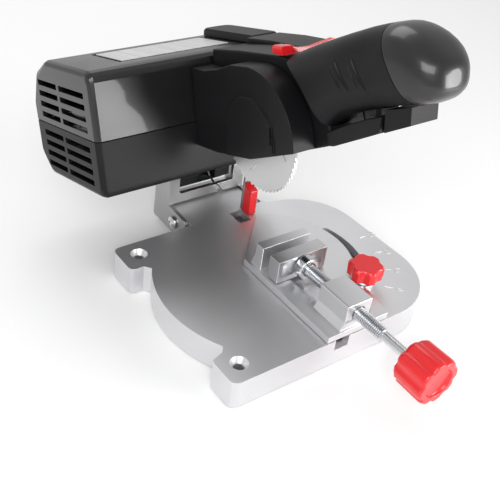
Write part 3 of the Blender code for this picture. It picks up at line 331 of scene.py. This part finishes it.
for side in ("left", "right"):
    head = welded("bracket_screw_" + side, "bracket_screw_head_" + side)
    low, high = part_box("bracket_screw_" + side)
    outer = low.x if side == "left" else high.x
    bpy.ops.object.select_all(action="DESELECT")
    bpy.ops.mesh.primitive_cylinder_add(vertices=6, radius=0.00145, depth=0.0022,
                                        location=(outer, (low.y + high.y) / 2, (low.z + high.z) / 2),
                                        rotation=(0, math.pi / 2, 0))
    key = bpy.context.object
    pick(head)
    socket = head.modifiers.new("hexagon_socket", "BOOLEAN")
    socket.object = key
    socket.solver = "EXACT"
    bpy.ops.object.modifier_apply(modifier=socket.name)
    bpy.data.objects.remove(key, do_unlink=True)
    dress(eased(head, 0.12, 2, 40), zinc, "base", ["bracket_screw_" + side])

for node, name in (("hinge_pin", "hinge_pin_turned"), ("vise_pivot", "vise_pivot_pin")):
    dress(eased(welded(node, name), 0.2), zinc, "base", [node])

spring_steel = rolled_steel("oiled_spring_steel", (0.06, 0.06, 0.065), (0.11, 0.11, 0.115), 0.3)
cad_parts["hinge_spring"].data.materials.clear()
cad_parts["hinge_spring"].data.materials.append(spring_steel)

# ---- vise -------------------------------------------------------------------------------
# One casting with the fixed jaw and the threaded block, turning on a pin in the base. The
# loose jaw is milled from bar and pushed along by the nose of the screw.
vise_alloy = cast_alloy("vise_casting", (0.76, 0.76, 0.78), (0.84, 0.84, 0.85), 0.27, 1800.0)
dress(eased(welded("vise_body", "vise_casting_body", False), 0.3, 3, clamp=False), vise_alloy, "vise", ["vise_body"])
milled = rolled_steel("milled_alloy", (0.66, 0.66, 0.67), (0.74, 0.74, 0.75), 0.24)
dress(eased(welded("movable_jaw", "movable_jaw_milled", False), 0.25, 2, clamp=False), milled, "jaw", ["movable_jaw"])

# ---- vise screw -------------------------------------------------------------------------
# Bright steel screw with a rolled thread of 1 mm pitch, a plain shank towards the knob, a
# turned collar behind the jaw, and a fluted red knob moulded on its end.
screw_x, screw_z = 0.0178, 0.0243
crest, root, pitch = 0.0032, 0.0023, 0.001
bpy.ops.object.select_all(action="DESELECT")
bpy.ops.mesh.primitive_plane_add(size=0.002, location=(0, 0, 0))
thread = bpy.context.object
thread.name = "lead_screw_thread"
bpy.ops.object.mode_set(mode="EDIT")
bpy.ops.mesh.select_all(action="SELECT")
bpy.ops.mesh.merge(type="CENTER")
bpy.ops.transform.translate(value=(root, -0.0700, 0))
turns = 51
for r, step in ((crest, 0.30), (crest, 0.22), (root, 0.30), (root, 0.18)):
    bpy.ops.mesh.extrude_region_move(TRANSFORM_OT_translate={"value": (0, step * pitch, 0)})
    bpy.ops.object.mode_set(mode="OBJECT")
    for v in thread.data.vertices:
        if v.select:
            v.co.x = r
    bpy.ops.object.mode_set(mode="EDIT")
bpy.ops.object.mode_set(mode="OBJECT")
wind = thread.modifiers.new("wind", "SCREW")
wind.axis = "Y"
wind.screw_offset = pitch
wind.iterations = turns
wind.steps = 18
wind.render_steps = 18
wind.use_merge_vertices = True
wind.merge_threshold = 0.00002
bpy.ops.object.modifier_apply(modifier=wind.name)
bpy.ops.object.mode_set(mode="EDIT")
bpy.ops.mesh.select_all(action="SELECT")
bpy.ops.mesh.remove_doubles(threshold=0.00001)
bpy.ops.mesh.select_all(action="DESELECT")
bpy.ops.mesh.select_non_manifold()
bpy.ops.mesh.edge_face_add()
bpy.ops.mesh.select_all(action="SELECT")
bpy.ops.mesh.normals_make_consistent(inside=False)
bpy.ops.transform.translate(value=(screw_x, 0, screw_z))
bpy.ops.object.mode_set(mode="OBJECT")
bpy.ops.object.shade_smooth_by_angle(angle=math.radians(40))
dress(thread, zinc, "screw")

bpy.ops.object.select_all(action="DESELECT")
bpy.ops.mesh.primitive_cylinder_add(vertices=32, radius=root, depth=0.0232,
                                    location=(screw_x, -0.0808, screw_z), rotation=(math.pi / 2, 0, 0))
shank = bpy.context.object
shank.name = "lead_screw_shank"
bpy.ops.object.transform_apply(location=True, rotation=True, scale=True)
bpy.ops.object.mode_set(mode="EDIT")
bpy.ops.mesh.select_all(action="SELECT")
bpy.ops.mesh.subdivide(number_cuts=1)
bpy.ops.object.mode_set(mode="OBJECT")
dress(eased(shank, 0.25), zinc, "screw", ["lead_screw"])
dress(eased(welded("screw_collar", "screw_collar_turned"), 0.25), zinc, "screw", ["screw_collar"])
dress(eased(welded("screw_knob", "screw_knob_fluted"), 0.7, 3, 40, 50), red, "screw", ["screw_knob"])

# ---- vise lock --------------------------------------------------------------------------
# A carriage bolt through the arc slot, a plain washer and a six-lobed red knob with a
# moulded-in nut; it clamps the vise at its angle.
dress(eased(welded("lock_bolt", "lock_bolt_turned"), 0.2), zinc, "vise", ["lock_bolt"])
dress(eased(welded("lock_washer", "lock_washer_flat"), 0.15), zinc, "vise", ["lock_washer"])
dress(eased(welded("lock_knob", "lock_knob_star"), 0.8, 3, 40, 50), red, "lock_knob", ["lock_knob"])

# ---- motor housing ----------------------------------------------------------------------
# Two black shells that meet at mid height and hold the motor between them. Air goes in
# through the louvres in the end; the silver rating plate lies in a recess on top.
satin_black = moulded("satin_black", (0.006, 0.006, 0.007), (0.010, 0.010, 0.011), 0.36, 1400.0, 0.00003,
                      sheen=0.2)
polished_black = moulded("polished_black", (0.006, 0.006, 0.007), (0.009, 0.009, 0.010), 0.28, 600.0,
                         0.00001, 0.35)
dress(eased(welded("housing_upper", "housing_upper_shell", False), 0.22, 2, clamp=False), polished_black, "head",
      ["housing_upper"])
dress(eased(welded("housing_lower", "housing_lower_shell", False), 0.22, 2, clamp=False), satin_black, "head",
      ["housing_lower"])

raised = math.radians(16.5)
plate_finish = Finish("rating_foil", Metallic=0.55)
flat = plate_finish.here(turn=(raised, 0, 0))
split = flat.tree.nodes.new("ShaderNodeSeparateXYZ")
flat.tree.links.new(flat.socket, split.inputs[0])
across, along = Lead(flat.tree, split.outputs[0]), Lead(flat.tree, split.outputs[1])
row = (along * 420.0).join("FRACT", 0.0) < 0.42
words = plate_finish.noise(plate_finish.here(scale=(1, 0.02, 0.02)), 700.0, 1.0) > 0.47
plate_finish.feed("Base Color", plate_finish.blend(row * words * 0.45, (0.80, 0.80, 0.80), (0.35, 0.35, 0.36)))
plate_finish.feed("Roughness", 0.32 + plate_finish.noise(flat, 90.0) * 0.1)
dress(eased(welded("rating_plate", "rating_plate_foil"), 0.15), plate_finish.material, "head",
      ["rating_plate"])
dress(eased(welded("rear_deck", "rear_deck_cover"), 0.8, 3), satin_black, "head", ["rear_deck"])
dress(eased(welded("cord_gland", "cord_gland_sleeve"), 0.3), satin_black, "head", ["cord_gland"])

# ---- blade guard and drive arm ------------------------------------------------------------
# The guard is a black moulding over the upper blade with a round boss at the arbor. The arm
# is a two-part casing round the belt, joined on a plane across it.
def carved(piece, tool):
    """Takes a tool's shape out of a piece and throws the tool away."""
    pick(piece)
    bite = piece.modifiers.new("bite", "BOOLEAN")
    bite.object = tool
    bite.solver = "EXACT"
    bpy.ops.object.modifier_apply(modifier=bite.name)
    bpy.data.objects.remove(tool, do_unlink=True)
    return piece


def cube_tool(low, high):
    """A plain block between two corners, used as a tool."""
    bpy.ops.object.select_all(action="DESELECT")
    size = [h - l for l, h in zip(low, high)]
    middle = [(h + l) / 2 for l, h in zip(low, high)]
    bpy.ops.mesh.primitive_cube_add(size=1, location=middle, scale=size)
    tool = bpy.context.object
    bpy.ops.object.transform_apply(location=True, rotation=True, scale=True)
    return tool


tilt = Matrix.Translation((0, 0.0705, 0.0315)) @ Matrix.Rotation(-raised, 4, "X")
guard = welded("blade_guard", "blade_guard_hood", False)
mark = cube_tool((-0.0080, -0.0927, 0.0318), (-0.0050, -0.0914, 0.0384))
mark.data.transform(tilt)
dress(eased(carved(guard, mark), 0.35, 3, clamp=False), satin_black, "head", ["blade_guard"])
dress(eased(welded("arm_case_left", "arm_case_left_shell", False), 0.6, 3, clamp=False), satin_black, "head",
      ["arm_case_left"])
dress(eased(welded("arm_case_right", "arm_case_right_shell", False), 0.6, 3, clamp=False), satin_black, "head",
      ["arm_case_right"])

# ---- handle -----------------------------------------------------------------------------
# A grip moulded in one with the arm's nose, scored on its left side, and a smooth polished
# palm cap on its end. Rings are drawn out from a circle, station by station.
grip_x = 0.011
# a (along the arm, mm), low, high, half width, lean of each ring; the seam lies at a = -140.8
stations = ((-93.0, 38.0, 66.0, 11.5, 0.0), (-98.5, 37.9, 68.1, 11.9, 0.0), (-104.0, 38.0, 70.0, 12.2, 0.0),
            (-109.0, 38.8, 71.8, 12.5, -0.02), (-114.0, 40.0, 73.4, 12.8, -0.04),
            (-118.5, 42.8, 74.9, 12.9, -0.07), (-123.0, 45.6, 76.4, 13.0, -0.10),
            (-127.5, 47.2, 77.9, 12.9, -0.15), (-132.0, 48.4, 79.4, 12.8, -0.20),
            (-136.4, 49.5, 80.5, 12.8, -0.23), (-140.8, 50.7, 81.4, 12.9, -0.25),
            (-144.0, 51.5, 81.9, 13.3, -0.24), (-147.0, 52.2, 82.0, 13.6, -0.22),
            (-150.5, 53.1, 81.6, 13.7, -0.19), (-154.0, 54.0, 80.8, 13.6, -0.15),
            (-157.6, 54.8, 79.6, 13.3, -0.11), (-160.8, 55.6, 78.0, 12.8, -0.08),
            (-163.7, 56.6, 76.3, 11.8, -0.04), (-166.0, 57.8, 74.4, 10.4, 0.0),
            (-168.1, 59.4, 72.6, 8.2, 0.0), (-169.4, 61.2, 70.6, 5.4, 0.0), (-169.6, 63.6, 68.0, 2.2, 0.0))
ring_steps = 44


def drawn_handle(name):
    """The outer form of grip and palm cap: a round disc drawn out ring by ring and closed."""
    bpy.ops.object.select_all(action="DESELECT")
    bpy.ops.mesh.primitive_circle_add(vertices=ring_steps, radius=0.01, fill_type="NGON", location=(0, 0, 0))
    form = bpy.context.object
    form.name = name
    bpy.ops.object.mode_set(mode="EDIT")
    bpy.ops.mesh.select_all(action="SELECT")
    for _ in stations[1:]:
        bpy.ops.mesh.extrude_region_move(TRANSFORM_OT_translate={"value": (0, 0, 0.001)})
    bpy.ops.object.mode_set(mode="OBJECT")
    for v in form.data.vertices:
        a, low, high, half, lean = stations[v.index // ring_steps]
        around = math.atan2(v.co.y, v.co.x)
        side, rise = math.cos(around), math.sin(around)
        out = math.copysign(abs(side) ** (2 / 2.6), side) * half
        up = math.copysign(abs(rise) ** (2 / 2.6), rise) * (high - low) / 2
        v.co = (grip_x + out * MM, (a + lean * up) * MM, ((low + high) / 2 + up) * MM)
    bpy.ops.object.mode_set(mode="EDIT")
    bpy.ops.mesh.select_all(action="SELECT")
    bpy.ops.mesh.normals_make_consistent(inside=False)
    bpy.ops.object.mode_set(mode="OBJECT")
    return form


seam_spot = Vector((grip_x, -0.1445, 0.0810))
seam_normal = Vector((0, -1, 0.596)).normalized()


def kept_side(form, outside):
    """Cuts a form on the seam plane, keeps one side and closes it."""
    pick(form)
    bpy.ops.object.mode_set(mode="EDIT")
    bpy.ops.mesh.select_all(action="SELECT")
    shift = 0.00015 if outside else -0.00015
    bpy.ops.mesh.bisect(plane_co=seam_spot + seam_normal * shift, plane_no=seam_normal, use_fill=True,
                        clear_inner=outside, clear_outer=not outside, threshold=1e-6)
    bpy.ops.mesh.select_all(action="SELECT")
    bpy.ops.mesh.normals_make_consistent(inside=False)
    bpy.ops.object.mode_set(mode="OBJECT")
    return form


grip = kept_side(drawn_handle("grip_moulding"), False)
bpy.ops.object.select_all(action="DESELECT")
bpy.ops.mesh.primitive_cylinder_add(vertices=96, radius=0.0313, depth=0.08, location=(0.02, -0.0836, 0.0332),
                                    rotation=(0, math.pi / 2, 0))
carved(grip, bpy.context.object)
carved(grip, cube_tool((0.0060, -0.1372, 0.0526), (0.0160, -0.1180, 0.0618)))
carved(grip, cube_tool((0.0088, -0.1352, 0.0400), (0.0132, -0.1310, 0.0530)))
# scored lines on the left side: pairs of bowed grooves, each a thick one and a thin one
carved(grip, cube_tool((0.0036, -0.1594, 0.0460), (0.0184, -0.1428, 0.0594)))
for (a0, b0), (a1, b1), (a2, b2), wire in (
        ((-133.0, 72.0), (-135.8, 64.4), (-143.1, 57.5), 1.15), ((-124.4, 70.6), (-127.0, 63.0), (-134.4, 56.2), 1.15),
        ((-131.7, 68.5), (-134.3, 63.1), (-137.8, 58.4), 0.75), ((-122.8, 67.2), (-125.4, 61.8), (-129.0, 57.0), 0.75)):
    bpy.ops.object.select_all(action="DESELECT")
    bend = bpy.data.curves.new("groove", "CURVE")
    bend.dimensions = "3D"
    bend.bevel_depth = wire * MM
    bend.bevel_resolution = 3
    bend.use_fill_caps = True
    line = bend.splines.new("POLY")
    line.points.add(12)
    for k in range(13):
        t = k / 12
        ga = (1 - t) ** 2 * a0 + 2 * t * (1 - t) * a1 + t * t * a2
        gb = (1 - t) ** 2 * b0 + 2 * t * (1 - t) * b1 + t * t * b2
        line.points[k].co = (-0.0019, ga * MM, gb * MM, 1)
        line.points[k].radius = 0.25 + 0.75 * math.sin(math.pi * min(1.0, max(0.0, t)))
    tool = bpy.data.objects.new("groove", bend)
    bpy.context.scene.collection.objects.link(tool)
    pick(tool)
    bpy.ops.object.convert(target="MESH")
    carved(grip, bpy.context.object)
grip.data.transform(tilt)
dress(eased(grip, 0.25, 2, 40, 40), satin_black, "head", ["grip"])

palm = kept_side(drawn_handle("palm_cap"), True)
carved(palm, cube_tool((0.0036, -0.1594, 0.0460), (0.0184, -0.1380, 0.0594)))
palm.data.transform(tilt)
dress(eased(palm, 0.35, 3, 40, 40), polished_black, "head", ["palm_end"])

dress(eased(welded("handle_rail", "handle_rail_fork"), 0.6, 3), satin_black, "head", ["handle_rail"])

# ---- trigger, its pin and switch ----------------------------------------------------------
# The squeeze bar under the grip turns on a plain pin and presses the switch above it.
bar = welded("trigger", "trigger_bar")
for v in bar.data.vertices:
    level = tilt.inverted() @ v.co
    if level.y < -0.1438 and level.z > 0.0498:
        v.co = tilt @ Vector((level.x, level.y, level.z + 0.0021))
dress(eased(bar, 0.5, 3), satin_black, "trigger", ["trigger"])
dress(eased(welded("trigger_pin", "trigger_pin_turned"), 0.15), zinc, "head", ["trigger_pin"])
carbon = moulded("dull_carbon", (0.022, 0.022, 0.022), (0.035, 0.034, 0.033), 0.6, 2000.0, 0.00005)
dress(eased(welded("switch_body", "switch_case"), 0.3), carbon, "head", ["switch_body"])

# ---- lock-off rocker --------------------------------------------------------------------
# Small red rocker across the arm: the paddle on the left is pressed before the trigger.
dress(eased(welded("lock_off_lever", "lock_off_rocker"), 0.45, 3), red, "lever", ["lock_off_lever"])

# ---- motor ------------------------------------------------------------------------------
# Universal motor: a ring of laminations in the housing, and the armature, commutator and
# fan pressed on one shaft, with two carbon brushes in their holders.
laminated = rolled_steel("lamination_steel", (0.09, 0.09, 0.095), (0.14, 0.14, 0.145), 0.4)
winding = Finish("lacquered_copper", Metallic=0.9)
strands = winding.noise(winding.here(scale=(0.05, 1, 1)), 1500.0, 2.0)
winding.feed("Base Color", winding.blend(strands, (0.45, 0.14, 0.05), (0.75, 0.32, 0.14)))
winding.feed("Roughness", 0.25 + strands * 0.2)
winding.grain(strands, 0.0001, 0.6)
rubber = moulded("belt_rubber_black", (0.016, 0.016, 0.016), (0.026, 0.026, 0.026), 0.7, 1200.0, 0.00006)
nylon = moulded("white_nylon", (0.66, 0.66, 0.63), (0.74, 0.74, 0.71), 0.4, 900.0, 0.00002)
inner = (
    ("motor_field", "head", laminated, "dark_steel"), ("armature", "rotor", winding.material, "copper"),
    ("commutator", "rotor", winding.material, "copper"), ("motor_shaft", "rotor", zinc, "zinc_steel"),
    ("cooling_fan", "rotor", nylon, "white_plastic"), ("motor_pulley", "rotor", milled, "machined_aluminium"),
    ("drive_belt", "head", rubber, "belt_rubber"), ("bearing_rear", "head", zinc, "zinc_steel"),
    ("bearing_drive", "head", zinc, "zinc_steel"), ("bearing_arbor", "head", zinc, "zinc_steel"),
    ("brush_box_top", "head", carbon, "carbon"), ("brush_box_bottom", "head", carbon, "carbon"),
    ("brush_top", "head", carbon, "carbon"), ("brush_bottom", "head", carbon, "carbon"),
    ("arbor", "arbor", zinc, "zinc_steel"), ("arbor_pulley", "arbor", milled, "machined_aluminium"),
    ("outer_flange", "arbor", zinc, "zinc_steel"), ("blade_screw", "arbor", zinc, "zinc_steel"),
)
for node, body, material, slot in inner:
    dress(eased(welded(node, node + "_finished"), 0.15), material, body, [node])

# ---- blade ------------------------------------------------------------------------------
# Thin steel disc, ground on both faces in rings about its centre, with fine raked teeth and
# four short slots that keep it flat when it warms.
blade_a, blade_b, blade_r, thick, teeth = -0.0766, 0.0322, 0.025, 0.0007, 60
bpy.ops.object.select_all(action="DESELECT")
bpy.ops.mesh.primitive_circle_add(vertices=teeth * 2, radius=blade_r, fill_type="NGON", location=(0, 0, 0),
                                  rotation=(0, math.pi / 2, 0))
blade = bpy.context.object
blade.name = "saw_blade_disc"
bpy.ops.object.transform_apply(location=True, rotation=True, scale=True)
for k, v in enumerate(blade.data.vertices):
    if k % 2:
        angle = math.atan2(v.co.z, v.co.y) - 0.55 * math.pi / teeth
        v.co.y = (blade_r - 0.0011) * math.cos(angle)
        v.co.z = (blade_r - 0.0011) * math.sin(angle)
bpy.ops.object.mode_set(mode="EDIT")
bpy.ops.mesh.select_all(action="SELECT")
bpy.ops.transform.translate(value=(-thick / 2, 0, 0))
bpy.ops.mesh.extrude_region_move(TRANSFORM_OT_translate={"value": (thick, 0, 0)})
bpy.ops.mesh.select_all(action="SELECT")
bpy.ops.mesh.normals_make_consistent(inside=False)
bpy.ops.object.mode_set(mode="OBJECT")
bpy.ops.object.select_all(action="DESELECT")
bpy.ops.mesh.primitive_cylinder_add(vertices=48, radius=0.005, depth=0.004, rotation=(0, math.pi / 2, 0))
carved(blade, bpy.context.object)
for k in range(4):
    angle = math.radians(20 + 90 * k)
    bpy.ops.object.select_all(action="DESELECT")
    bpy.ops.mesh.primitive_cube_add(size=1, location=(0, 0.0165 * math.cos(angle), 0.0165 * math.sin(angle)),
                                    rotation=(angle + math.radians(35), 0, 0), scale=(0.004, 0.0062, 0.00045))
    carved(blade, bpy.context.object)
blade.data.transform(tilt @ Matrix.Translation((0, blade_a, blade_b)))
ground = Finish("ground_steel", Metallic=1.0)
centre = tilt @ Vector((0, blade_a, blade_b))
spot = ground.here(move=(-centre.x, -centre.y, -centre.z))
rings = ground.node("TexWave", "Fac", {"wave_type": "RINGS", "rings_direction": "X"}, Vector=spot, Scale=900.0,
                    Distortion=6.0, Detail=2.0)
ground.feed("Base Color", ground.blend(rings, (0.62, 0.62, 0.62), (0.74, 0.74, 0.74)))
ground.feed("Roughness", 0.30 + rings * 0.08)
ground.grain(rings, 0.00002, 0.2)
pick(blade)
bpy.ops.object.shade_smooth_by_angle(angle=math.radians(20))
dress(blade, ground.material, "arbor", ["saw_blade"])

bpy.ops.object.select_all(action="DESELECT")
